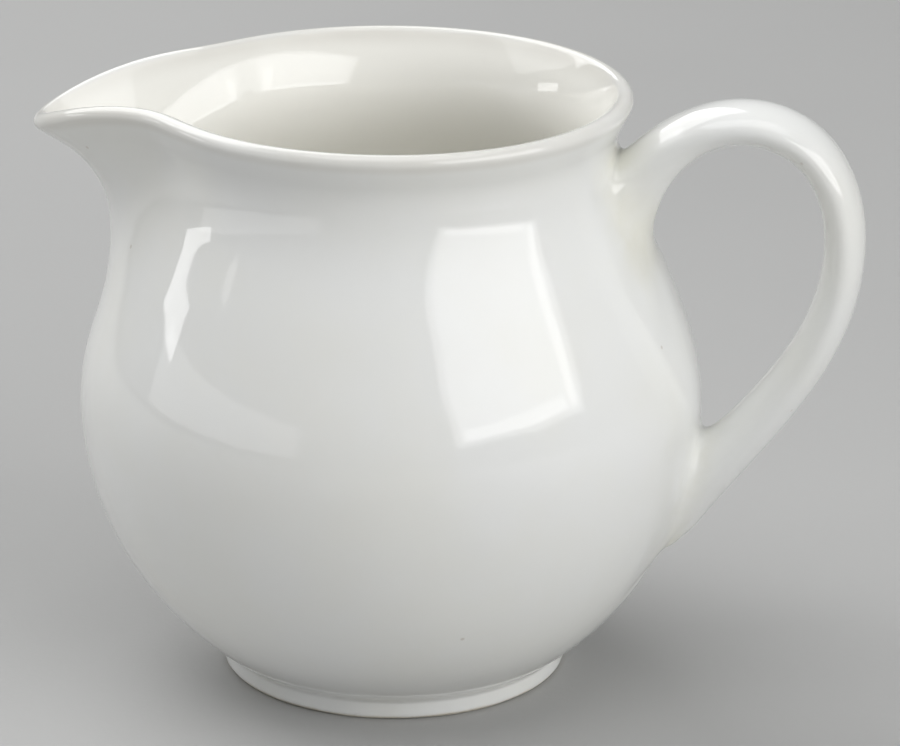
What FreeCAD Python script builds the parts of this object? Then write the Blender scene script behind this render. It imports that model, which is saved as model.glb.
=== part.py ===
import FreeCAD, Part
import math
import os

# A glazed porcelain creamer in one piece: a round bowl on a foot ring, a flared lip,
# a pulled spout and a strap handle.
# Millimetres, Z up. The origin is the centre of the foot ring, on the table.
# The spout points along -X, the handle along +X, and the jug mirrors about the XZ plane.

# Bowl, outside
belly_radius = 44.8
belly_height = 40.5
shoulder_radius = 39.1       # where the belly turns into the straight shoulder
shoulder_height = 60.0
collar_radius = 33.1         # where the shoulder turns into the neck
collar_height = 74.0
neck_radius = 31.8           # narrowest place, below the lip
neck_height = 77.6
lip_radius = 32.75           # middle of the lip
rim_height = 86.0            # top of the lip
lip_lean = 0.42              # outward lean of the wall at the lip

# Wall
wall_thickness = 3.2
lip_thickness = 2.54
lip_taper = 18.0             # height over which the wall thins down to the lip
floor_height = 6.4           # inside floor above the table
floor_softness = 1.6         # rounding between the floor and the inside wall

# Foot ring
foot_radius = 25.0
foot_height = 3.0            # up to the corner below the bowl
foot_width = 4.2
foot_overlap = 1.0           # how far the bowl's skin runs on over the top of the ring
foot_rounding = 0.8

# Spout
spout_reach = 50.1           # axis to the middle of the lip at the tip
spout_opening = 12.3         # opening of the parabola that the spout follows from above
spout_blend = 1.9            # softness of the turn from the round lip into the spout
spout_drop = 5.6             # how far the tip lies below the round lip
spout_root_height = 51.5     # where the spout starts to leave the belly
spout_spread = 0.6           # cosine of the angle where the spout's sides have fully begun

# Handle, a strap of oval section along a smooth line that is drawn by six pulls (reach, height)
strap_width = 12.0
strap_thickness = 5.8
upper_root = (31.9, 72.3)
upper_pull = (41.0, 84.7)
crest_pull = (63.9, 86.4)
side_pull = (67.3, 52.0)
lower_pull = (45.9, 31.8)
lower_root = (39.0, 22.8)
upper_flare = 3.9            # extra depth under the strap where it leaves the neck
upper_flare_length = 23.0
lower_flare = 2.7            # extra thickness where it meets the belly
lower_flare_length = 55.0
root_sink = 7.0              # how far each end runs on inside the jug
root_fillet = 1.3            # rounding where the strap meets the bowl

# Fineness of the surfaces
columns = 64
bowl_rows = 12
neck_rows = 17
lip_rows = 5
floor_rows = 10
strap_rows = 28
strap_columns = 16
spout_crowding = 0.6         # how much closer the columns stand at the spout

degree = 3
lip_height = rim_height - lip_thickness / 2
half_wall = wall_thickness / 2
corner_drop = belly_height - foot_height
bowl_depth = corner_drop / math.sqrt(1 - (foot_radius / belly_radius) ** 2)
base_drop = bowl_depth * math.sqrt(1 - ((foot_radius - foot_overlap) / belly_radius) ** 2)
base_height = belly_height - base_drop * (1 - half_wall / bowl_depth)


def smoothstep(start, end, value):
    t = min(max((value - start) / (end - start), 0.0), 1.0)
    return t * t * (3 - 2 * t)


def softened(value, softness):
    """The larger of the value and zero, with a rounded turn between them."""
    return (value + math.hypot(value, 2 * softness)) / 2


def hermite(start, end, height):
    """Radius between two stations, each a height, a radius and a slope."""
    span = end[0] - start[0]
    t = (height - start[0]) / span
    level = (1 + 2 * t) * (1 - t) ** 2 * start[1] + t * t * (3 - 2 * t) * end[1]
    lean = t * (1 - t) ** 2 * start[2] - t * t * (1 - t) * end[2]
    return level + lean * span


def round_radius(height):
    """Radius of the middle of the wall, leaving the spout out."""
    if height <= belly_height:
        drop = (belly_height - height) / (bowl_depth - half_wall)
        return (belly_radius - half_wall) * math.sqrt(1 - drop ** 2)
    slope = (collar_radius - shoulder_radius) / (collar_height - shoulder_height)
    inset = half_wall * math.hypot(1, slope)
    stations = [
        (belly_height, belly_radius - half_wall, 0.0),
        (shoulder_height, shoulder_radius - inset, slope),
        (collar_height, collar_radius - inset, slope),
        (neck_height, neck_radius - half_wall, 0.0),
        (lip_height, lip_radius, lip_lean),
    ]
    for start, end in zip(stations, stations[1:]):
        if height <= end[0]:
            return hermite(start, end, height)
    return lip_radius


def beak(angle):
    """How far the lip leaves its circle, at an angle from the spout's direction."""
    ahead = math.cos(angle)
    if ahead <= 0:
        return 0.0
    along = spout_opening * ahead
    square = max(math.sin(angle) ** 2, 1e-6)
    root = math.sqrt(along ** 2 + 4 * spout_opening * spout_reach * square)
    parabola = (root - along) / (2 * square)
    out = softened(parabola - lip_radius, spout_blend)
    return out * smoothstep(0.0, spout_spread, ahead)


def wall_middle(angle, height):
    """Point of the wall's middle surface, for a height told before the lip dips."""
    length = beak(0.0)
    out = beak(angle) / length
    up = (height - spout_root_height) / (lip_height - spout_root_height)
    up = min(max(up, 0.0), 1.0)
    swell = up ** 2 * (1.6 - 0.6 * up)
    narrowing = 1 + (1 - up) / 3
    radius = round_radius(height) + length * swell * out ** narrowing
    dip = spout_drop * out ** 2 * up ** 2
    return FreeCAD.Vector(-radius * math.cos(angle), -radius * math.sin(angle), height - dip)


def wall_frame(angle, height):
    """Middle point of the wall with its outward and its upward direction."""
    step = 0.01
    middle = wall_middle(angle, height)
    around = wall_middle(angle + step, height) - wall_middle(angle - step, height)
    upward = middle - wall_middle(angle, height - step)
    outward = around.cross(upward).normalize()
    return middle, outward, outward.cross(around).normalize()


def thickness(height):
    thinning = smoothstep(lip_height - lip_taper, lip_height, height)
    return wall_thickness + (lip_thickness - wall_thickness) * thinning


def wall_row(angles, height, side):
    """One ring of the outside wall (side 1) or the inside wall (side -1)."""
    row = []
    for angle in angles:
        middle, outward, upward = wall_frame(angle, height)
        row.append(middle + outward * (side * thickness(height) / 2))
    return row


def lip_row(angles, turn):
    """One ring of the rounded lip, turned from the outside (0) to the inside (pi)."""
    row = []
    for angle in angles:
        middle, outward, upward = wall_frame(angle, lip_height)
        spoke = outward * math.cos(turn) + upward * math.sin(turn)
        row.append(middle + spoke * (lip_thickness / 2))
    return row


def floor_row(angles, turn):
    """One ring of the inside bowl, turned from the belly (0) to the middle (pi / 2)."""
    radius = (belly_radius - wall_thickness) * math.cos(turn)
    height = belly_height - (bowl_depth - wall_thickness) * math.sin(turn)
    level = floor_height + softened(height - floor_height, floor_softness)
    return [FreeCAD.Vector(-radius * math.cos(a), -radius * math.sin(a), level) for a in angles]


def sharpened(points, closed):
    """Control points for which a cubic curve comes close to the given points."""
    count = len(points)
    poles = []
    for index in range(count):
        before = points[index - 1] if closed or index > 0 else points[index]
        after = points[(index + 1) % count] if closed or index < count - 1 else points[index]
        inner = closed or 0 < index < count - 1
        bend = (before + after - points[index] * 2) / 6 if inner else FreeCAD.Vector()
        poles.append(points[index] - bend)
    return poles


def net_solid(rows):
    """Solid inside a smooth skin over closed rings, with flat ends on the outer rings."""
    rings = [sharpened(row, True) for row in rows]
    strips = [sharpened([ring[i] for ring in rings], False) for i in range(len(rings[0]))]
    around_knots = list(range(len(strips) + 1))
    along_knots = list(range(len(rows) - degree + 1))
    around_mults = [1] * len(around_knots)
    along_mults = [1] * len(along_knots)
    along_mults[0] = degree + 1
    along_mults[-1] = degree + 1
    skin = Part.BSplineSurface()
    skin.buildFromPolesMultsKnots(strips, around_mults, along_mults, around_knots, along_knots,
                                  True, False, degree, degree)
    side = skin.toShape()
    ends = [edge for edge in side.Edges if edge.isClosed()]
    caps = [Part.Face(Part.Wire(edge)) for edge in ends]
    shell = Part.Shell([side] + caps)
    shell.sewShape()
    solid = Part.Solid(shell)
    if solid.Volume < 0:
        solid.reverse()
    return solid


def column_angles():
    """Angles from the spout's direction, closer together at the spout."""
    turns = [2 * math.pi * i / columns for i in range(columns)]
    return [turn - spout_crowding * math.sin(turn) for turn in turns]


def neck_heights():
    """Heights from the belly to the lip, closer together towards the lip."""
    span = lip_height - belly_height
    return [lip_height - span * (1 - i / neck_rows) ** 1.5 for i in range(neck_rows + 1)]


def bowl():
    angles = column_angles()
    span = belly_height - base_height
    lower = [base_height + span * i / bowl_rows for i in range(bowl_rows)]
    upper = neck_heights()
    lip_turns = [math.pi * (i + 1) / (lip_rows + 1) for i in range(lip_rows)]
    floor_turns = [math.pi / 2 * (i + 1) / (floor_rows + 1) for i in range(floor_rows)]
    rows = [wall_row(angles, height, 1) for height in lower + upper]
    rows += [lip_row(angles, turn) for turn in lip_turns]
    rows += [wall_row(angles, height, -1) for height in reversed(upper)]
    rows += [floor_row(angles, turn) for turn in floor_turns]
    return net_solid(rows)


def core():
    """Solid up to the middle of the wall, which takes the strap's ends off."""
    angles = [2 * math.pi * i / columns for i in range(columns)]
    span = lip_height - base_height
    heights = [base_height + span * i / neck_rows for i in range(neck_rows + 1)]
    rows = []
    for height in heights:
        radius = round_radius(height)
        rows.append([FreeCAD.Vector(radius * math.cos(a), radius * math.sin(a), height) for a in angles])
    return net_solid(rows)


def foot_ring():
    profile = Part.makePlane(foot_width, foot_height + half_wall)
    profile.rotate(FreeCAD.Vector(), FreeCAD.Vector(1, 0, 0), 90)
    profile.translate(FreeCAD.Vector(foot_radius - foot_width, 0, 0))
    ring = profile.revolve(FreeCAD.Vector(), FreeCAD.Vector(0, 0, 1), 360)
    resting = [edge for edge in ring.Edges if edge.BoundBox.ZMax < 0.01 and edge.isClosed()]
    return ring.makeFillet(foot_rounding, resting)


def flare(distance, length):
    """Share of a flare that is left at a distance from its root."""
    return max(1 - max(distance, 0.0) / length, 0.0) ** 2


def strap_ring(middle, ahead, outer_depth, inner_depth):
    """Oval section of the strap, square to its line and deeper on one side than on the other."""
    sideways = FreeCAD.Vector(0, 1, 0)
    outward = ahead.cross(sideways)
    ring = []
    for index in range(strap_columns):
        turn = 2 * math.pi * index / strap_columns
        across = math.sin(turn)
        depth = outer_depth if across > 0 else inner_depth
        ring.append(middle + sideways * (math.cos(turn) * strap_width / 2) + outward * (across * depth))
    return ring


def strap():
    """Handle along its line. The upper end runs straight on, the lower one towards the jug's axis."""
    pulls = [upper_root, upper_pull, crest_pull, side_pull, lower_pull, lower_root]
    line = Part.BSplineCurve()
    line.buildFromPoles([FreeCAD.Vector(reach, 0, height) for reach, height in pulls], False, degree)
    whole = line.length()
    distances = [whole * i / strap_rows for i in range(strap_rows + 1)]
    rows = []
    for distance in [-root_sink] + distances + [whole + root_sink]:
        on_line = line.parameterAtDistance(min(max(distance, 0.0), whole), line.FirstParameter)
        ahead = line.tangent(on_line)[0].normalize()
        swell = strap_thickness + lower_flare * flare(whole - distance, lower_flare_length)
        extra = upper_flare * flare(distance, upper_flare_length)
        before = min(distance, 0.0)
        beyond = max(distance - whole, 0.0)
        middle = line.value(on_line) + ahead * before - FreeCAD.Vector(beyond, 0, 0)
        rows.append(strap_ring(middle, ahead, swell / 2, swell / 2 + extra))
    return net_solid(rows)


def root_edges(shape):
    """Edges where the strap's skin meets the bowl's skin."""
    skin = max(shape.Faces, key=lambda face: face.BoundBox.XMax)
    return [edge for edge in skin.Edges if len(shape.ancestorsOfType(edge, Part.Face)) == 2]


def creamer():
    handle = strap().cut(core())
    jug = bowl().fuse(handle)
    jug = jug.makeFillet(root_fillet, root_edges(jug))
    return jug.fuse(foot_ring()).removeSplitter()


def main():
    os.makedirs("parts", exist_ok=True)
    shape = creamer()
    print(shape.ShapeType, shape.isValid(), len(shape.Solids), round(shape.Volume), shape.BoundBox)
    shape.Solids[0].exportStep("parts/creamer.step")


main()
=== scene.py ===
"""Glazed porcelain creamer: one seamless skin over bowl, foot, spout and handle, its glaze and its
stage.

Metres, Z up. The origin is the centre of the foot ring, on the table. The spout points along -X and
the handle along +X.
"""

import math

import bpy
import numpy as np
from bpy.props import FloatProperty, FloatVectorProperty, IntProperty, PointerProperty
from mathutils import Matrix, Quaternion, Vector


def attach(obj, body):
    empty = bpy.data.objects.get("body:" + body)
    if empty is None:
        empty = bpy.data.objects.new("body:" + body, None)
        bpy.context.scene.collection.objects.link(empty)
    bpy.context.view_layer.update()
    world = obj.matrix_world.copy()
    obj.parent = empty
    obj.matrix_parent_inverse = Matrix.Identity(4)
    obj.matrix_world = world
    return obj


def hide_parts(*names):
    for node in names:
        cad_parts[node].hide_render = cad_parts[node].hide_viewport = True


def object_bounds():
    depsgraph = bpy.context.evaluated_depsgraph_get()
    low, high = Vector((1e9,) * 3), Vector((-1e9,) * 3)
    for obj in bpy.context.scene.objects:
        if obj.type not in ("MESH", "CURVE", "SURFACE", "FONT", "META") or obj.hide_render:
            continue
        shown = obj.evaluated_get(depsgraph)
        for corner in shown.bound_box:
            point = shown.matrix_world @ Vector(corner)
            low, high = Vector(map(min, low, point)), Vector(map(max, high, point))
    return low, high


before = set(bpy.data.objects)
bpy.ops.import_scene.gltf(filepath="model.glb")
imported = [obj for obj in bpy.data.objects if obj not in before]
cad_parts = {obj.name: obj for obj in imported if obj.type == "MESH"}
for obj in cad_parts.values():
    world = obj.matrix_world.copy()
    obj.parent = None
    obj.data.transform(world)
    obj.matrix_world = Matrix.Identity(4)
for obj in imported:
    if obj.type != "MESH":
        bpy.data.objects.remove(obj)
cad_low, cad_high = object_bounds()

bl_info = {
    "name": "Porcelain creamer",
    "version": (1, 0, 0),
    "blender": (4, 5, 0),
    "location": "3D View > Sidebar > Creamer",
    "description": "Builds a glazed creamer with spout and strap handle, and a plain studio",
    "category": "Add Mesh",
}

mm = 0.001

# Height over which the lining grows, and how far the ring between strap and jug is drawn into their
# corner: on a quarter circle it would be the square root of two, less one.
lining_growth = 15 * mm
hollowness = 0.41


def length(name, description, millimetres):
    return FloatProperty(name=name, description=description, default=millimetres * mm, min=0.0,
                         unit="LENGTH")


def slope(name, description, value):
    """Radius gained for each step of height."""
    return FloatProperty(name=name, description=description, default=value)


def turn_of(name, description, degrees):
    return FloatProperty(name=name, description=description, default=math.radians(degrees),
                         unit="ROTATION")


def pull(name, description, reach, height):
    """Place that draws the handle's line towards itself: reach from the axis, and height."""
    return FloatVectorProperty(name=name, description=description, size=2, unit="LENGTH",
                               default=(reach * mm, height * mm))


def colour(name, description, red, green, blue):
    return FloatVectorProperty(name=name, description=description, size=3, subtype="COLOR",
                               min=0.0, max=1.0, default=(red, green, blue))


def share(name, description, value):
    return FloatProperty(name=name, description=description, default=value, min=0.0, max=1.0,
                         subtype="FACTOR")


class CreamerBowl(bpy.types.PropertyGroup):
    belly_radius: length("Belly radius", "Outside radius at the widest place",
                         cad_high.y / mm - 0.13)
    belly_height: length("Belly height", "Height of the widest place", 40.5)
    shoulder_radius: length("Shoulder radius", "Outside radius where the belly turns straight",
                            39.15)
    shoulder_height: length("Shoulder height", "Height where the belly turns straight", 60.0)
    shoulder_lean: slope("Shoulder lean", "Slope of the wall at the shoulder", -0.44)
    collar_radius: length("Collar radius", "Outside radius where the shoulder turns into the neck",
                          34.3)
    collar_height: length("Collar height", "Height where the shoulder turns into the neck", 70.0)
    collar_lean: slope("Collar lean", "Slope of the wall at the collar", -0.45)
    neck_radius: length("Neck radius", "Outside radius at the narrowest place", 32.15)
    neck_height: length("Neck height", "Height of the narrowest place", 78.7)
    lip_radius: length("Lip radius", "Radius to the middle of the lip", 32.75)
    rim_height: length("Rim height", "Height of the top of the lip", 85.89)
    lip_lean: slope("Lip lean", "Slope of the wall at the lip", 0.42)
    wall: length("Wall", "Thickness of the wall", 3.2)
    lip_wall: length("Lip wall", "Thickness of the wall at the lip", 2.54)
    lip_taper: length("Lip taper", "Height over which the wall thins to the lip", 18.0)
    lining: length("Lining", "How much thicker the wall is inside the collar", 1.1)
    lining_height: length("Lining height", "Height where the lining is thickest", 72.5)
    floor_height: length("Floor height", "Inside floor above the table", 6.4)
    floor_softness: length("Floor softness", "Rounding between floor and inside wall", 1.6)
    unevenness: length("Unevenness", "How far the hand-finished skin wanders inwards", 0.10)
    lean: length("Foot offset", "How far the foot sits off the axis, towards the handle", 0.45)


class CreamerFoot(bpy.types.PropertyGroup):
    radius: length("Foot radius", "Outside radius of the foot ring", 25.0)
    height: length("Foot height", "Height of the corner below the bowl", 3.0)
    width: length("Foot width", "Width of the ring that stands on the table", 4.2)
    rounding: length("Foot rounding", "Rounding of the ring's lower edges", 0.8)
    recess: length("Recess", "Height of the hollow inside the ring", 2.9)


class CreamerSpout(bpy.types.PropertyGroup):
    reach: length("Spout reach", "Axis to the middle of the lip at the tip", 49.92)
    opening: length("Spout opening", "Opening of the parabola that the spout follows from above",
                    12.3)
    blend: length("Spout blend", "Softness of the turn from the round lip into the spout", 1.9)
    drop: length("Spout drop", "How far the tip lies below the round lip", 5.6)
    root_height: length("Spout root", "Height where the spout starts to leave the belly", 51.5)
    spread: share("Spout spread", "Cosine of the angle where the spout has fully begun", 0.6)


class CreamerHandle(bpy.types.PropertyGroup):
    width: length("Strap width", "Width of the strap across", 12.0)
    thickness: length("Strap thickness", "Thickness of the strap", 5.8)
    upper_root: pull("Upper root", "Start of the line on the neck", 31.9, 72.3)
    upper_pull: pull("Upper pull", "Draws the line up from the neck", 41.0, 84.6)
    crest_pull: pull("Crest pull", "Draws the line over the top", 63.8, 86.1)
    side_pull: pull("Side pull", "Draws the line down the far side", 67.2, 52.0)
    lower_pull: pull("Lower pull", "Draws the line back to the belly", 45.9, 31.8)
    lower_root: pull("Lower root", "End of the line on the belly", 39.0, 22.8)
    upper_flare: length("Upper flare", "Extra depth under the strap at the neck", 3.9)
    upper_flare_length: length("Upper flare length", "Length of that flare", 23.0)
    lower_flare: length("Lower flare", "Extra thickness at the belly", 2.7)
    lower_flare_length: length("Lower flare length", "Length of that flare", 55.0)
    root_sink: length("Root sink", "How far each end runs on inside the jug", 7.0)
    rows: IntProperty(name="Rows", description="Rings of the skin along the strap", default=26,
                      min=8)


class CreamerGlaze(bpy.types.PropertyGroup):
    cool: colour("Cool white", "Glaze where it is thin over the body", 0.86, 0.865, 0.85)
    warm: colour("Warm white", "Glaze where it is a little thicker", 0.855, 0.855, 0.82)
    # Creamier tint of the glaze inside the bowl, and lighter than outside as painted light
    inside: colour("Inside white", "Creamier glaze inside the bowl, lightened as painted light", 0.92, 0.91, 0.86)
    pooled: colour("Pooled glaze", "Glaze that ran together in the corners", 0.66, 0.635, 0.46)
    rim: colour("Rim", "Thin glaze on the edge of the lip", 0.74, 0.72, 0.67)
    clay: colour("Bare clay", "Unglazed ring under the foot", 0.66, 0.62, 0.53)
    speck: colour("Speck", "Iron specks in the glaze", 0.42, 0.34, 0.25)
    stain: colour("Stain", "Smoky tint on top of the handle", 0.50, 0.47, 0.44)
    gloss: share("Glaze roughness", "Roughness of the fired glaze", 0.035)


class CreamerStudio(bpy.types.PropertyGroup):
    floor: colour("Floor", "Colour of the pale floor", 0.46, 0.46, 0.455)
    floor_size: length("Floor size", "Width of the floor", 6000.0)
    azimuth: turn_of("Camera azimuth", "Turn of the camera from the front towards the handle", 9.0)
    elevation: turn_of("Camera elevation", "Height of the camera above the horizon", 20.02)
    distance: length("Camera distance", "Camera to the middle of the jug", 596.6)
    middle: length("Middle", "Height of the jug's middle, round which the camera turns", 43.0)
    aim_height: length("Aim height", "Height of the point that the camera looks at", 43.25)
    aim_side: length("Aim side", "How far that point lies beside the axis, towards the handle",
                     8.43)
    roll: turn_of("Camera roll", "Turn of the camera about its own axis", 0.29)
    lens: FloatProperty(name="Lens", description="Focal length of the camera", default=166.05,
                        unit="CAMERA")


# ---------------------------------------------------------------- shape of the bowl

def smoothstep(start, end, value):
    """Rises from 0 at the start to 1 at the end, by three times the square less twice the cube."""
    t = np.clip((value - start) / (end - start), 0.0, 1.0)
    return t * t * (3 - 2 * t)


def softened(value, softness):
    """The larger of the value and zero, with a rounded turn between them."""
    return (value + np.hypot(value, 2 * softness)) / 2


def bowl_depth(jug, foot):
    """Half height of the ellipse whose lower half is the bowl, from the belly to below the foot."""
    return (jug.belly_height - foot.height) / math.sqrt(1 - (foot.radius / jug.belly_radius) ** 2)


def lip_middle(jug):
    """Height of the middle of the lip's half circle, before the spout dips."""
    return jug.rim_height - jug.lip_wall / 2


def round_axis(angle, radius, height):
    """Points at a radius and a height, turned about the axis from the spout's direction."""
    return np.stack([-radius * np.cos(angle), -radius * np.sin(angle), height + 0 * angle], axis=-1)


def round_radius(height, jug, foot):
    """Radius of the wall's middle without the spout.

    Below the belly it is an ellipse, and above it a cubic Hermite curve through the stations belly,
    shoulder, collar, neck and lip, each a height, a radius and a slope.
    """
    half = jug.wall / 2
    drop = np.clip((jug.belly_height - height) / (bowl_depth(jug, foot) - half), 0.0, 1.0)
    below = (jug.belly_radius - half) * np.sqrt(1 - drop ** 2)
    shoulder = jug.shoulder_radius - half * math.hypot(1, jug.shoulder_lean)
    collar = jug.collar_radius - half * math.hypot(1, jug.collar_lean)
    levels = np.array([jug.belly_height, jug.shoulder_height, jug.collar_height, jug.neck_height,
                       lip_middle(jug)])
    radii = np.array([jug.belly_radius - half, shoulder, collar, jug.neck_radius - half,
                      jug.lip_radius])
    slopes = np.array([0.0, jug.shoulder_lean, jug.collar_lean, 0.0, jug.lip_lean])
    index = np.clip(np.searchsorted(levels, height) - 1, 0, len(levels) - 2)
    span = levels[index + 1] - levels[index]
    t = np.clip((height - levels[index]) / span, 0.0, 1.0)
    level = (1 + 2 * t) * (1 - t) ** 2 * radii[index] + t * t * (3 - 2 * t) * radii[index + 1]
    lean = t * (1 - t) ** 2 * slopes[index] - t * t * (1 - t) * slopes[index + 1]
    return np.where(height < jug.belly_height, below, level + lean * span)


def beak(angle, jug, spout):
    """How far the lip leaves its circle at an angle from the spout's direction.

    From above the spout is a parabola about the spout's axis. What it reaches beyond the round lip
    is softened at the turn, and fades in smoothly with the cosine of the angle.
    """
    ahead = np.cos(angle)
    along = spout.opening * np.maximum(ahead, 0.0)
    square = np.maximum(np.sin(angle) ** 2, 1e-6)
    root = np.sqrt(along ** 2 + 4 * spout.opening * spout.reach * square)
    parabola = (root - along) / (2 * square)
    out = softened(parabola - jug.lip_radius, spout.blend)
    return out * smoothstep(0.0, spout.spread, ahead)


def wall_middle(angle, height, jug, foot, spout):
    """Points of the wall's middle: the round radius, plus the beak times a swell that grows with
    height, and lowered towards the spout's tip by the square of both."""
    tip = beak(np.zeros(1), jug, spout)[0]
    out = beak(angle, jug, spout) / tip
    up = np.clip((height - spout.root_height) / (lip_middle(jug) - spout.root_height), 0.0, 1.0)
    swell = up ** 2 * (1.6 - 0.6 * up)
    narrowing = 1 + (1 - up) / 3
    radius = round_radius(height, jug, foot) + tip * swell * out ** narrowing
    dip = spout.drop * out ** 2 * up ** 2
    return round_axis(angle, radius, height - dip)


def unit(vectors):
    return vectors / np.linalg.norm(vectors, axis=-1, keepdims=True)


def wall_frame(angle, height, jug, foot, spout):
    """Middle points of the wall with their outward and upward directions, from the differences to
    points a small turn aside and a small step below."""
    turn, rise = 0.01, 0.01 * mm
    sizes = (jug, foot, spout)
    middle = wall_middle(angle, height, *sizes)
    around = wall_middle(angle + turn, height, *sizes) - wall_middle(angle - turn, height, *sizes)
    upward = middle - wall_middle(angle, height - rise, *sizes)
    outward = unit(np.cross(around, upward))
    return middle, outward, unit(np.cross(outward, around))


def wall_rings(angle, height, side, jug, foot, spout):
    """Rings of the outside wall (side 1) or the inside wall (side -1), half a wall from its middle.

    The wall thins smoothly towards the lip, and its inside bulges smoothly into the collar.
    """
    middle, outward = wall_frame(angle, height, jug, foot, spout)[:2]
    lip = lip_middle(jug)
    thinning = smoothstep(lip - jug.lip_taper, lip, height)
    wall = jug.wall + (jug.lip_wall - jug.wall) * thinning
    if side < 0:
        rise = smoothstep(jug.lining_height - lining_growth, jug.lining_height, height)
        wall = wall + 2 * jug.lining * rise * (1 - smoothstep(jug.lining_height, lip, height))
    return middle + outward * (side * wall / 2)[..., None]


def lip_rings(angle, turn, jug, foot, spout):
    """Rings round the lip: half a circle about the wall's middle, from the outside inwards."""
    height = np.full_like(angle, lip_middle(jug))
    middle, outward, upward = wall_frame(angle, height, jug, foot, spout)
    spoke = outward * np.cos(turn)[..., None] + upward * np.sin(turn)[..., None]
    return middle + spoke * jug.lip_wall / 2


def floor_rings(angle, turn, jug, foot):
    """Rings of the inside bowl: an ellipse a wall inside the outer one, softened at the floor."""
    radius = (jug.belly_radius - jug.wall) * np.cos(turn)
    height = jug.belly_height - (bowl_depth(jug, foot) - jug.wall) * np.sin(turn)
    level = jug.floor_height + softened(height - jug.floor_height, jug.floor_softness)
    return round_axis(angle, radius, level)


def foot_rings(angle, foot):
    """Rings from the middle of the hollow under the jug, over the foot ring and out to its corner.

    The profile is flat in the hollow, a quarter circle into the ring's inner side, a quarter circle
    at each lower edge and straight between them.
    """
    inner = foot.radius - foot.width
    soft = foot.rounding
    turn = np.linspace(0, math.pi / 2, 4)
    across, down = soft * np.sin(turn), soft * np.cos(turn)
    hollow = np.stack([inner * np.array([0.03, 0.3, 0.6, 0.85]), np.full(4, foot.recess)], axis=-1)
    shoulder = np.stack([inner - soft + across, foot.recess - soft + down], axis=-1)
    inside = np.stack([inner + soft - down, soft - across], axis=-1)
    outside = np.stack([foot.radius - soft + across, soft - down], axis=-1)
    side = foot.height * np.array([[0.0, 0.5], [0.0, 0.78], [0.03, 0.93]])
    side = side + np.array([foot.radius, 0.0])
    profile = np.concatenate([hollow, shoulder, inside, outside, side])
    return round_axis(angle, profile[:, 0, None], profile[:, 1, None])


# ---------------------------------------------------------------- shape of the handle

def spline_points(pulls, share_along):
    """Clamped cubic B-spline: weights from the Cox-de Boor recursion, times the pulls."""
    degree = 3
    inner = np.linspace(0.0, 1.0, len(pulls) - degree + 1)
    knots = np.concatenate([np.zeros(degree), inner, np.ones(degree)])
    at = np.clip(share_along, 0.0, 1.0 - 1e-9)[:, None]
    weights = ((knots[:-1] <= at) & (at < knots[1:])).astype(float)
    for order in range(1, degree + 1):
        first, last = weights[:, :-1], weights[:, 1:]
        rising = knots[order:-1] - knots[:-order - 1]
        falling = knots[order + 1:] - knots[1:-order]
        up = np.divide(at - knots[:-order - 1], rising, out=np.zeros_like(first), where=rising > 0)
        down = np.divide(knots[order + 1:] - at, falling, out=np.zeros_like(first),
                         where=falling > 0)
        weights = up * first + down * last
    return weights @ pulls


def handle_line(strap):
    """Line of the handle told by distance along it, run on inside the jug at both ends.

    Returns distances, points and directions. The upper end runs straight on and the lower end runs
    towards the axis, so that both ends lie inside the jug's wall.
    """
    samples, run_on = 1601, 40
    pulls = np.array([strap.upper_root, strap.upper_pull, strap.crest_pull,
                      strap.side_pull, strap.lower_pull, strap.lower_root])
    points = spline_points(pulls, np.linspace(0.0, 1.0, samples))
    steps = np.linalg.norm(np.diff(points, axis=0), axis=1)
    distances = np.concatenate([[0.0], np.cumsum(steps)])
    directions = unit(np.gradient(points, distances, axis=0))
    extra = np.linspace(strap.root_sink, 0.0, run_on, endpoint=False)[:, None]
    before = points[0] - directions[0] * extra
    after = points[-1] - np.array([1.0, 0.0]) * extra[::-1]
    points = np.concatenate([before, points, after])
    directions = np.concatenate([np.repeat(directions[:1], run_on, 0), directions,
                                 np.repeat(directions[-1:], run_on, 0)])
    distances = np.concatenate([-extra[:, 0], distances, distances[-1] + extra[::-1, 0]])
    return distances, points, directions


def strap_skin(distance, turn, line, strap):
    """Points of the strap: an ellipse round its line, wider than thick.

    The ellipse's depth grows by the square of the nearness to each root: at the belly on both
    faces, and at the neck only inside the loop.
    """
    distances, points, directions = line
    whole = distances[-1] - strap.root_sink
    reach = np.interp(distance, distances, points[:, 0])
    height = np.interp(distance, distances, points[:, 1])
    ahead = unit(np.stack([np.interp(distance, distances, directions[:, i]) for i in (0, 1)],
                          axis=-1))
    to_belly = np.maximum(whole - distance, 0.0) / strap.lower_flare_length
    to_neck = np.maximum(distance, 0.0) / strap.upper_flare_length
    lower = np.clip(1 - to_belly, 0.0, 1.0) ** 2
    upper = np.clip(1 - to_neck, 0.0, 1.0) ** 2
    half = (strap.thickness + strap.lower_flare * lower) / 2
    across = np.sin(turn)
    depth = np.where(across > 0, half, half + strap.upper_flare * upper)
    return np.stack([reach - ahead[..., 1] * across * depth, strap.width / 2 * np.cos(turn),
                     height + ahead[..., 0] * across * depth], axis=-1)


def outside_profile(jug, foot, spout):
    """Height and radius of the outside on the handle's side, to look up one from the other."""
    height = np.linspace(foot.height + 1.0 * mm, lip_middle(jug), 600)
    wall = wall_rings(np.full_like(height, math.pi), height, 1, jug, foot, spout)
    return wall[:, 2], wall[:, 0]


def last_within(gap, steps, limit):
    """For each line of the strap, the last step from its root where the gap is within a limit."""
    return np.where(gap <= limit, steps, -np.inf).max(axis=0)


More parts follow.
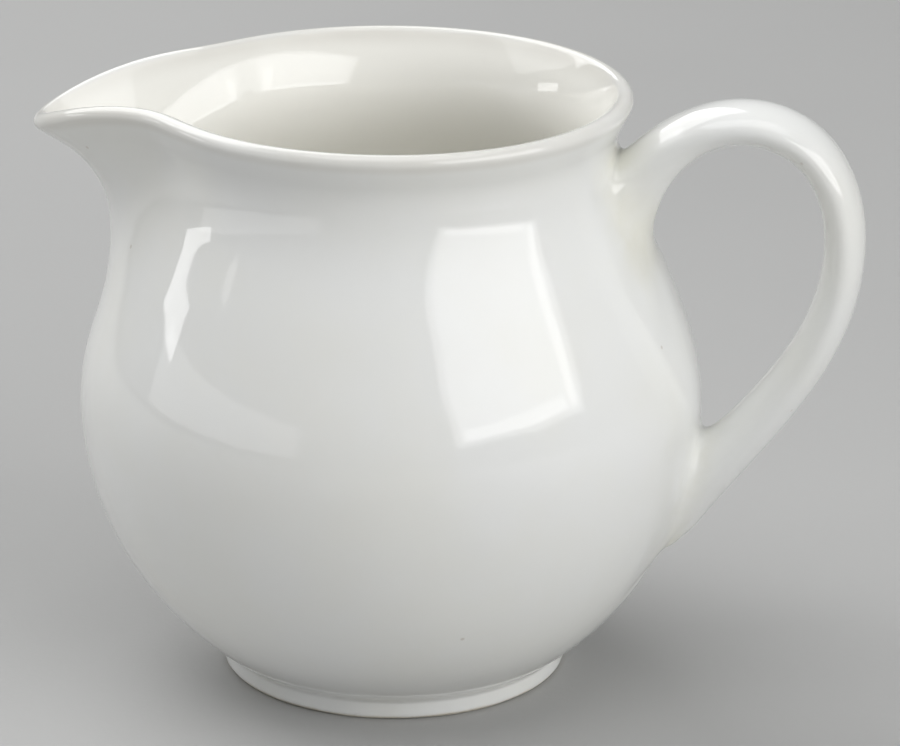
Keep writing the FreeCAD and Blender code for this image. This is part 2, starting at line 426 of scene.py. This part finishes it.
def root_rings(turn, root, line, strap, profile, margin):
    """Rings that lead one root of the strap onto the jug, and where the strap itself begins.

    Each line of the strap is followed from its root, as far as the middle of the handle, until it
    leaves the jug's skin. The first ring lies on the jug a margin outside that place, the last on
    the strap a margin above the skin, and between them a ring lies near the quarter circle that
    joins both.
    """
    distances = line[0]
    way = (distances[0] + distances[-1]) / 2 - root
    steps = np.linspace(0.0, 1.0, 900)[:, None] + 0 * turn
    skin = strap_skin(root + way * steps, turn + 0 * steps, line, strap)
    gap = np.hypot(skin[..., 0], skin[..., 1]) - np.interp(skin[..., 2], *profile)
    touch = root + way * last_within(gap, steps, 0.0)
    clear = root + way * last_within(gap, steps, margin)
    landing = strap_skin(touch, turn, line, strap)
    leaving = strap_skin(clear, turn, line, strap)
    radius = np.interp(landing[:, 2], *profile)
    place = np.stack([radius * np.arctan2(landing[:, 1], landing[:, 0]), landing[:, 2]], axis=-1)
    spoke = unit(place - (place.max(axis=0) + place.min(axis=0)) / 2)
    on_jug = place + spoke * margin[:, None]
    around = on_jug[:, 0] / radius
    radius = np.interp(on_jug[:, 1], *profile)
    ring = np.stack([radius * np.cos(around), radius * np.sin(around), on_jug[:, 1]], axis=-1)
    between = (ring + leaving) / 2 * (1 - hollowness) + landing * hollowness
    return ring, between, clear


# ---------------------------------------------------------------- the whole skin

# The cage's columns round the bowl, and how far they crowd towards the spout and towards both ends.
columns = 64
spout_crowding, both_crowding = 0.125, 0.2125

# The blocks of cells that the handle's roots take the place of: half their columns, their rows, and
# the heights of their lower and upper edges.
half_block_columns = 5
block_rows = 8
lower_block = (16.5 * mm, 40.8 * mm)
upper_block = (59.8 * mm, 80.4 * mm)


def column_angles():
    """Angles from the spout's direction: even turns, less a sine of the turn that crowds them at
    the spout, and a sine of the double turn that crowds them at the spout and the handle."""
    turns = np.linspace(0.0, 2 * math.pi, columns, endpoint=False)
    return turns - spout_crowding * np.sin(turns) - both_crowding * np.sin(2 * turns)


def joined_spans(ends, counts):
    """Levels that run through all the ends, with a count of equal steps between each pair."""
    spans = [np.linspace(low, high, count, endpoint=False)
             for low, high, count in zip(ends, ends[1:], counts)]
    return np.concatenate(spans + [ends[-1:]])


def sharpened(points, closed):
    """Cage points for which the smooth skin comes close to the given ones: each moves away from its
    neighbours' middle by a third of its distance to it. Closed rings are done along themselves, and
    otherwise the rows are done from ring to ring."""
    if closed:
        before, after = np.roll(points, 1, axis=1), np.roll(points, -1, axis=1)
    else:
        before = np.concatenate([points[:1], points[:-1]])
        after = np.concatenate([points[1:], points[-1:]])
    bend = (before + after - 2 * points) / 6
    if not closed:
        bend[0] = bend[-1] = 0
    return points - bend


def ring_faces(index):
    """Four-sided faces between neighbouring rows of point numbers, each row a closed ring."""
    after = np.roll(index, -1, axis=1)
    return np.stack([index[:-1], after[:-1], after[1:], index[1:]], axis=-1)


def block_edge(index, bottom, top):
    """Point numbers round a block of cells, from the middle of its +Y side by way of the top."""
    first = columns // 2 - half_block_columns
    last = columns // 2 + half_block_columns
    way = 1 if top > bottom else -1
    middle = (bottom + top) // 2
    rise = np.arange(middle, top, way)
    fall = np.arange(top, bottom, -way)
    rest = np.arange(bottom, middle, way)
    rows = np.concatenate([rise, np.full(last - first, top), fall, np.full(last - first, bottom),
                           rest])
    across = np.concatenate([np.full(len(rise), last), np.arange(last, first, -1),
                             np.full(len(fall), first), np.arange(first, last),
                             np.full(len(rest), last)])
    return index[rows, across]


def wandering(points, amount, lean):
    """Moves points as a hand-finished jug's skin wanders.

    Slow sine waves that cross each other draw the points towards the axis, less and less near the
    axis itself. The lower half leans off the axis, most at the foot. The foot's lower edge is
    raised by quicker waves round the axis.
    """
    calm_reach, lean_height = 20 * mm, 36 * mm
    edge_rise, edge_height = 0.12 * mm, 1.6 * mm
    x, y, z = points.T / (10 * mm)
    wave = (np.sin(0.9 * x + 0.5 * z) * np.sin(0.8 * y - 0.45 * z + 1.0)
            + 0.5 * np.sin(1.3 * z + 0.7 * x - 0.9 * y))
    inward = amount * (wave + 1.5) / 3
    reach = np.hypot(points[:, 0], points[:, 1])
    ease = smoothstep(0.0, calm_reach, reach)
    moved = points.copy()
    moved[:, :2] *= (1 - inward * ease / np.maximum(reach, 1e-6))[:, None]
    moved[:, 0] += lean * (1 - smoothstep(0.0, lean_height, points[:, 2]))
    turn = np.arctan2(points[:, 1], points[:, 0])
    edge = 0.5 + 0.25 * (np.sin(9 * turn + 0.6) + np.sin(14 * turn + 2.0) * np.sin(3 * turn))
    moved[:, 2] += edge_rise * edge * (1 - smoothstep(0.0, edge_height, points[:, 2]))
    return moved


def bowl_cage(jug, foot, spout):
    """Cage of the bowl as rows of rings, from the middle of the underside by way of the lip to the
    middle of the floor.

    Outside, the rows lie close together above the foot's corner, and run in equal steps from there
    to the edges of the handle's blocks and on to the lip. Also returns the rows where the two
    blocks begin, and by name the values on each row that the glaze reads: how much has pooled, how
    thin it is, and whether it is inside.
    """
    angle = column_angles()
    lip = lip_middle(jug)
    belly_to_foot = jug.belly_height - foot.height
    corner = jug.belly_height - belly_to_foot * (1 - jug.wall / 2 / bowl_depth(jug, foot))
    ends = np.array([corner + 0.5 * mm, corner + 2.2 * mm, *lower_block, *upper_block])
    counts = [2, 4, block_rows, 6, block_rows]
    outer = np.concatenate([joined_spans(ends, counts), np.linspace(ends[-1], lip, 4)[1:]])
    inner = np.linspace(lip, jug.belly_height, 14)
    lip_turns = np.linspace(0.0, math.pi, 7)[1:-1]
    floor_turns = np.linspace(0.0, math.pi / 2, 13)[1:-1]

    def on_grid(values):
        return angle + 0 * values[:, None], values[:, None] + 0 * angle

    under = foot_rings(angle, foot)
    outside = wall_rings(*on_grid(outer), 1, jug, foot, spout)
    rim = lip_rings(*on_grid(lip_turns), jug, foot, spout)
    inside = wall_rings(*on_grid(inner), -1, jug, foot, spout)
    floor = floor_rings(*on_grid(floor_turns), jug, foot)
    cage = np.concatenate([under, outside, rim, inside, floor])
    cage = sharpened(sharpened(cage, True), False)
    cage[..., 2] = np.maximum(cage[..., 2], 0.0)

    lower = len(under) + counts[0] + counts[1]
    upper = lower + block_rows + counts[3]
    pooled = np.zeros(len(cage))
    pooled[len(under) - 1:len(under) + 2] = (0.3, 0.45, 0.25)
    rim_begins = len(under) + len(outer)
    rim_ends = rim_begins + len(rim)
    thin = np.zeros(len(cage))
    thin[rim_begins - 1:rim_ends + 1] = 1.0
    # Rows inside the bowl, which the finish gives a creamier tint and paints lighter as painted
    # light
    thick = np.zeros(len(cage))
    thick[rim_ends:] = 1.0
    return cage, lower, upper, {"pooled_glaze": pooled, "thin_glaze": thin, "inside_tint_and_light": thick}


def handle_cage(jug, foot, spout, strap):
    """Rings from the neck along the strap to the belly, and how much glaze has pooled on each.

    The margins say how far each root's rings keep from the place where strap and jug meet. They
    change round the strap by the squared sine of the turn on its outer and on its inner side.
    """
    count = 2 * (2 * half_block_columns + block_rows)
    turn = np.linspace(0.0, 2 * math.pi, count, endpoint=False)
    line = handle_line(strap)
    profile = outside_profile(jug, foot, spout)
    outer_side = np.maximum(np.sin(turn), 0.0) ** 2
    inner_side = np.maximum(-np.sin(turn), 0.0) ** 2
    upper_margin = (3.6 - 2.4 * outer_side - 0.2 * inner_side) * mm
    lower_margin = (2.2 - 1.2 * outer_side + 0.9 * inner_side) * mm
    upper_ring, upper_between, begin = root_rings(
        turn, line[0][0], line, strap, profile, upper_margin)
    lower_ring, lower_between, end = root_rings(
        turn, line[0][-1], line, strap, profile, lower_margin)
    share_along = np.linspace(0.0, 1.0, strap.rows)[:, None]
    distance = begin + (end - begin) * share_along
    skin = strap_skin(distance, turn + 0 * distance, line, strap)
    skin = sharpened(sharpened(skin, True), False)
    rings = np.concatenate([[upper_ring], [upper_between], skin, [lower_between], [lower_ring]])
    pooled = np.zeros(len(rings))
    pooled[:4] = (0.8, 1.0, 0.7, 0.25)
    pooled[-4:] = (0.25, 0.7, 1.0, 0.8)
    return rings, pooled


def creamer_skin(jug, foot, spout, strap):
    """Points and faces of the whole jug's cage, in one closed piece, and the values that the glaze
    reads, by name.

    The blocks of cells are left out, the strap's rings are joined to their edges, and a fan of
    triangles closes the underside and the floor about a point on the axis.
    """
    bowl, lower, upper, values = bowl_cage(jug, foot, spout)
    handle, handle_pooled = handle_cage(jug, foot, spout, strap)
    index = np.arange(bowl.shape[0] * columns).reshape(bowl.shape[0], columns)
    cells = ring_faces(index)
    kept = np.ones(cells.shape[:2], bool)
    first = columns // 2 - half_block_columns
    for bottom in (lower, upper):
        kept[bottom:bottom + block_rows, first:first + 2 * half_block_columns] = False
    strap_index = np.arange(handle.shape[0] * handle.shape[1]).reshape(handle.shape[:2])
    top_edge = block_edge(index, upper, upper + block_rows)
    low_edge = block_edge(index, lower + block_rows, lower)
    strap_index = np.concatenate([[top_edge], index.size + strap_index, [low_edge]])
    quads = np.concatenate([cells[kept], ring_faces(strap_index).reshape(-1, 4)])
    centres = np.array([[0.0, 0.0, bowl[0, 0, 2]], [0.0, 0.0, bowl[-1, 0, 2]]])
    points = np.concatenate([bowl.reshape(-1, 3), handle.reshape(-1, 3), centres])
    under, floor = len(points) - 2, len(points) - 1
    fans = np.concatenate([
        np.stack([np.roll(index[0], -1), index[0], np.full(columns, under)], axis=-1),
        np.stack([index[-1], np.roll(index[-1], -1), np.full(columns, floor)], axis=-1),
    ])
    strap_pooled = np.repeat(handle_pooled, handle.shape[1])
    for name, rows in values.items():
        on_strap = strap_pooled if name == "pooled_glaze" else 0 * strap_pooled
        values[name] = np.concatenate([np.repeat(rows, columns), on_strap, rows[[0, -1]]])
    values["pooled_glaze"][top_edge] = values["pooled_glaze"][low_edge] = 0.35
    corners = np.concatenate([quads.ravel(), fans.ravel()])
    used, corners = np.unique(corners, return_inverse=True)
    faces = (corners[:quads.size].reshape(-1, 4).tolist()
             + corners[quads.size:].reshape(-1, 3).tolist())
    points = wandering(points[used], jug.unevenness, jug.lean)
    return points, faces, {name: value[used] for name, value in values.items()}


# ---------------------------------------------------------------- finishes

class Socket:
    """A shader socket that can be reckoned with: each operator adds the Math node for it."""

    def __init__(self, finish, socket):
        self.finish = finish
        self.socket = socket

    def math(self, operation, *values):
        return self.finish.node("ShaderNodeMath", {"operation": operation}, dict(enumerate(values)))

    def __add__(self, other):
        return self.math("ADD", self, other)

    __radd__ = __add__

    def __mul__(self, other):
        return self.math("MULTIPLY", self, other)

    __rmul__ = __mul__

    def __sub__(self, other):
        return self.math("SUBTRACT", self, other)

    def __rsub__(self, other):
        return self.math("SUBTRACT", other, self)

    def ramp(self, start, end):
        """Rises smoothly from 0 at one value to 1 at another."""
        settings = {"interpolation_type": "SMOOTHSTEP"}
        return self.finish.node("ShaderNodeMapRange", settings, {0: self, 1: start, 2: end})

    def beside(self, output):
        """Another output of the same node."""
        return Socket(self.finish, self.socket.node.outputs[output])


class Finish:
    """A material that is put together node by node."""

    def __init__(self, name):
        self.material = bpy.data.materials.new(name)
        self.material.use_nodes = True
        self.tree = self.material.node_tree
        self.tree.nodes.clear()

    def node(self, kind, settings, sockets, output=0):
        """Adds a node: its settings first, then its sockets' values or links, by name or number.
        Gives one of its outputs, if it has any."""
        made = self.tree.nodes.new(kind)
        for key, value in settings.items():
            setattr(made, key, value)
        for key, value in sockets.items():
            if isinstance(value, Socket):
                self.tree.links.new(value.socket, made.inputs[key])
            else:
                made.inputs[key].default_value = value
        return Socket(self, made.outputs[output]) if made.outputs else None

    def place(self):
        """Object coordinates in metres."""
        return self.node("ShaderNodeTexCoord", {}, {}, output="Object")

    def axis(self, vector, name):
        """X, Y or Z of a vector, or the first, second or third channel of a colour."""
        return self.node("ShaderNodeSeparateXYZ", {}, {"Vector": vector}, output=name)

    def noise(self, vector, scale, detail, roughness):
        sockets = {"Vector": vector, "Scale": scale, "Detail": detail, "Roughness": roughness}
        return self.node("ShaderNodeTexNoise", {}, sockets)

    def attribute(self, name):
        return self.node("ShaderNodeAttribute", {"attribute_name": name}, {}, output="Fac")

    def mix(self, factor, first, second):
        """Colour between two colours, each a socket or red, green and blue."""
        first, second = (shade if isinstance(shade, Socket) else (*shade, 1.0)
                         for shade in (first, second))
        settings = {"data_type": "RGBA", "clamp_factor": True}
        return self.node("ShaderNodeMix", settings, {0: factor, 6: first, 7: second}, output=2)

    def bump(self, height, strength, distance, below=None):
        """Normal that follows a height, over the one from a bump below it."""
        sockets = {"Height": height, "Strength": strength, "Distance": distance}
        if below is not None:
            sockets["Normal"] = below
        return self.node("ShaderNodeBump", {}, sockets)

    def near(self, vector, centre, inner, outer):
        """One at a place and nothing beyond a distance from it."""
        apart = self.node("ShaderNodeVectorMath", {"operation": "DISTANCE"}, {0: vector, 1: centre},
                          output="Value")
        return 1 - apart.ramp(inner, outer)

    def surface(self, sockets):
        """The finished material, with one shader on its surface."""
        shader = self.node("ShaderNodeBsdfPrincipled", {}, sockets)
        self.node("ShaderNodeOutputMaterial", {}, {"Surface": shader})
        return self.material


def glaze_finish(glaze, jug, strap):
    """Clear glossy glaze over white porcelain, with what firing leaves behind.

    The white drifts between cool and warm in slow clouds. Inside the bowl it is creamier, and
    it is lighter there as painted light that brightens the inside. Glaze has pooled in the
    handle's corners and round the foot, is thin and greyer on the lip, and is missing under the
    foot ring. A few specks of iron lie in it, and a smoky tint on top of the handle.
    """
    finish = Finish("glazed porcelain")
    place = finish.place()
    height = finish.axis(place, "Z")
    clouds = finish.noise(place, 38.0, 3.0, 0.55)
    fine = finish.noise(place, 210.0, 4.0, 0.6)
    white = finish.mix(clouds.ramp(0.35, 0.7), glaze.cool, glaze.warm)

    # Painted light: inside the bowl the white is lighter than outside, as well as creamier in tint
    inside = finish.attribute("inside_tint_and_light")
    white = finish.mix(inside.ramp(0.3, 1.0), white, glaze.inside)

    pooled = finish.attribute("pooled_glaze")
    patchy = clouds.ramp(0.3, 0.62) * 0.6 + fine.ramp(0.3, 0.8) * 0.4
    white = finish.mix(pooled.ramp(0.1, 1.0) * patchy * 0.38, white, glaze.pooled)

    thin = finish.attribute("thin_glaze")
    worn = thin.ramp(0.2, 1.0) * (0.3 + clouds.ramp(0.35, 0.75) * 0.3)
    white = finish.mix(worn, white, glaze.rim)

    crest = (jug.neck_radius + 0.4 * strap.thickness + 8.5 * mm, 0.0, 83.0 * mm)
    smoke = finish.near(place, crest, 1.0 * mm, 7.5 * mm) * clouds.ramp(0.2, 0.6)
    white = finish.mix(smoke * 0.32, white, glaze.stain)

    apart = finish.node("ShaderNodeTexVoronoi", {"feature": "F1"},
                        {"Vector": place, "Scale": 120.0}, output="Distance")
    picked = finish.axis(apart.beside("Color"), "X").ramp(0.68, 0.72)
    dots = (1 - apart.ramp(0.022, 0.05)) * picked
    white = finish.mix(dots * 0.35, white, glaze.speck)

    bare = 1 - (height + fine * (0.6 * mm)).ramp(0.6 * mm, 1.1 * mm)
    white = finish.mix(bare, white, glaze.clay)

    slow = finish.noise(place, 55.0, 2.0, 0.4)
    waves = finish.bump(slow, 0.35, 0.6 * mm)
    peel = finish.bump(fine, 0.05, 0.1 * mm, waves)
    grain = finish.noise(place, 2600.0, 2.0, 0.7)
    sand = finish.bump(grain * bare, 0.6, 0.2 * mm, peel)

    return finish.surface({
        "Base Color": white,
        "Roughness": glaze.gloss + fine * 0.03 + bare * 0.5,
        "IOR": 1.52,
        "Normal": sand,
    })


def floor_finish(studio):
    """Pale matt board with a faint cloudiness and tooth."""
    finish = Finish("pale board")
    place = finish.place()
    clouds = finish.noise(place, 3.0, 4.0, 0.5)
    tooth = finish.noise(place, 900.0, 2.0, 0.6)
    darker = tuple(0.94 * channel for channel in studio.floor)
    return finish.surface({
        "Base Color": finish.mix(clouds.ramp(0.3, 0.7), studio.floor, darker),
        "Roughness": 0.62 + tooth * 0.1,
        "Specular IOR Level": 0.25,
        "Normal": finish.bump(tooth, 0.15, 0.2 * mm),
    })


# ---------------------------------------------------------------- operators

def mesh_object(name, points, faces):
    mesh = bpy.data.meshes.new(name)
    mesh.from_pydata(points.tolist(), [], faces)
    mesh.shade_smooth()
    made = bpy.data.objects.new(name, mesh)
    bpy.context.scene.collection.objects.link(made)
    return made


def paint(piece, name, values):
    """Keeps a value on each of the piece's points, for its finish to read."""
    layer = piece.data.attributes.new(name, "FLOAT", "POINT")
    layer.data.foreach_set("value", values.astype(np.float32))


class CreamerBuildJug(bpy.types.Operator):
    """Builds the jug in one piece and glazes it"""

    bl_idname = "creamer.build_jug"
    bl_label = "Jug"

    def execute(self, context):
        scene = context.scene
        sizes = (scene.creamer_bowl, scene.creamer_foot, scene.creamer_spout, scene.creamer_handle)
        points, faces, values = creamer_skin(*sizes)
        jug = mesh_object("creamer_jug", points, faces)
        for name, value in values.items():
            paint(jug, name, value)
        smooth = jug.modifiers.new("smooth", "SUBSURF")
        smooth.levels = smooth.render_levels = 2
        jug.data.materials.append(
            glaze_finish(scene.creamer_glaze, scene.creamer_bowl, scene.creamer_handle))
        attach(jug, "root")
        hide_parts("creamer")
        return {"FINISHED"}


# Each light by name, with its turn from the camera and its height above the horizon in degrees, its
# width, height and distance in metres, and its watts.
lights = (
    ("key surround", 48, 24.5, 0.92, 0.55, 0.92, 3.0),
    ("key window", 48, 24.5, 0.80, 0.48, 0.91, 1.55),
    ("key lower band", 46, 11.9, 0.66, 0.065, 0.90, 0.18),
    ("key side band", 70.5, 20, 0.065, 0.32, 0.90, 0.085),
    ("left strip", -99, 13.6, 0.2, 0.085, 0.8, 0.2),
    ("left panel", -66, 7.5, 1.2, 0.22, 0.95, 0.75),
    ("left soft", -100, 40, 1.0, 0.7, 1.2, 3.0),
    ("right edge", 100, 45, 0.03, 0.5, 0.8, 0.06),
    ("top soft", 10, 78, 1.1, 0.8, 1.1, 4.3),
    ("back soft", -145, 42, 1.4, 1.0, 1.4, 11.0),
)


def direction(around, above):
    """From the jug outwards: a turn from the front towards the handle, and an angle above the
    horizon."""
    level = math.cos(above)
    return Vector((math.sin(around) * level, -math.cos(around) * level, math.sin(above)))


def hang_light(studio, name, azimuth, elevation, width, height, distance, watts):
    """Soft rectangular light that faces the point on the axis at the height of the camera's aim."""
    lamp = bpy.data.lights.new(name, "AREA")
    lamp.shape = "RECTANGLE"
    lamp.size, lamp.size_y = width, height
    lamp.energy = watts
    away = direction(studio.azimuth + math.radians(azimuth), math.radians(elevation))
    made = bpy.data.objects.new(name, lamp)
    made.location = Vector((0.0, 0.0, studio.aim_height)) + away * distance
    made.rotation_euler = (-away).to_track_quat("-Z", "Y").to_euler()
    bpy.context.scene.collection.objects.link(made)


class CreamerBuildStudio(bpy.types.Operator):
    """Lays the pale floor, hangs the soft lights and places the camera"""

    bl_idname = "creamer.build_studio"
    bl_label = "Studio"

    def execute(self, context):
        self.lay_floor(context.scene)
        self.hang_lights(context.scene)
        self.place_camera(context.scene)
        return {"FINISHED"}

    def lay_floor(self, scene):
        studio = scene.creamer_studio
        corners = np.array([[-1, -1, 0], [1, -1, 0], [1, 1, 0], [-1, 1, 0]])
        floor = mesh_object("studio_floor", corners * studio.floor_size / 2, [(0, 1, 2, 3)])
        floor.data.materials.append(floor_finish(studio))

    def hang_lights(self, scene):
        for light in lights:
            hang_light(scene.creamer_studio, *light)
        world = bpy.data.worlds.new("studio air")
        world.use_nodes = True
        air = world.node_tree.nodes["Background"]
        air.inputs["Color"].default_value = (0.96, 0.98, 0.99, 1.0)
        air.inputs["Strength"].default_value = 0.17
        scene.world = world

    def place_camera(self, scene):
        studio = scene.creamer_studio
        away = direction(studio.azimuth, studio.elevation)
        sideways = Vector((math.cos(studio.azimuth), math.sin(studio.azimuth), 0.0))
        lens = bpy.data.cameras.new("camera")
        lens.sensor_width = 36.0
        lens.lens = studio.lens
        lens.clip_start, lens.clip_end = 0.01, 20.0
        camera = bpy.data.objects.new("camera", lens)
        middle = Vector((0.0, 0.0, studio.middle))
        aim = Vector((0.0, 0.0, studio.aim_height)) + sideways * studio.aim_side
        camera.location = middle + away * studio.distance
        level = (aim - camera.location).to_track_quat("-Z", "Y")
        camera.rotation_euler = (level @ Quaternion((0.0, 0.0, 1.0), studio.roll)).to_euler()
        scene.collection.objects.link(camera)
        scene.camera = camera
        scene.view_settings.view_transform = "Standard"


class CreamerPanel(bpy.types.Panel):
    """Sizes, colours and building steps of the creamer"""

    bl_idname = "VIEW3D_PT_creamer"
    bl_label = "Creamer"
    bl_space_type = "VIEW_3D"
    bl_region_type = "UI"
    bl_category = "Creamer"

    def draw(self, context):
        for name, (group, title) in property_homes.items():
            box = self.layout.box()
            box.label(text=title)
            values = getattr(context.scene, name)
            for key in group.__annotations__:
                box.prop(values, key)
        for operator in operators:
            self.layout.operator(operator.bl_idname)


property_homes = {
    "creamer_bowl": (CreamerBowl, "Bowl"),
    "creamer_foot": (CreamerFoot, "Foot"),
    "creamer_spout": (CreamerSpout, "Spout"),
    "creamer_handle": (CreamerHandle, "Handle"),
    "creamer_glaze": (CreamerGlaze, "Glaze"),
    "creamer_studio": (CreamerStudio, "Studio"),
}
operators = (CreamerBuildJug, CreamerBuildStudio)


def register():
    for name, (group, title) in property_homes.items():
        bpy.utils.register_class(group)
        setattr(bpy.types.Scene, name, PointerProperty(type=group))
    for operator in operators:
        bpy.utils.register_class(operator)
    bpy.utils.register_class(CreamerPanel)


def unregister():
    bpy.utils.unregister_class(CreamerPanel)
    for operator in reversed(operators):
        bpy.utils.unregister_class(operator)
    for name, (group, title) in reversed(property_homes.items()):
        delattr(bpy.types.Scene, name)
        bpy.utils.unregister_class(group)


def main():
    register()
    bpy.ops.creamer.build_jug()
    bpy.ops.creamer.build_studio()


if __name__ == "__main__":
    main()
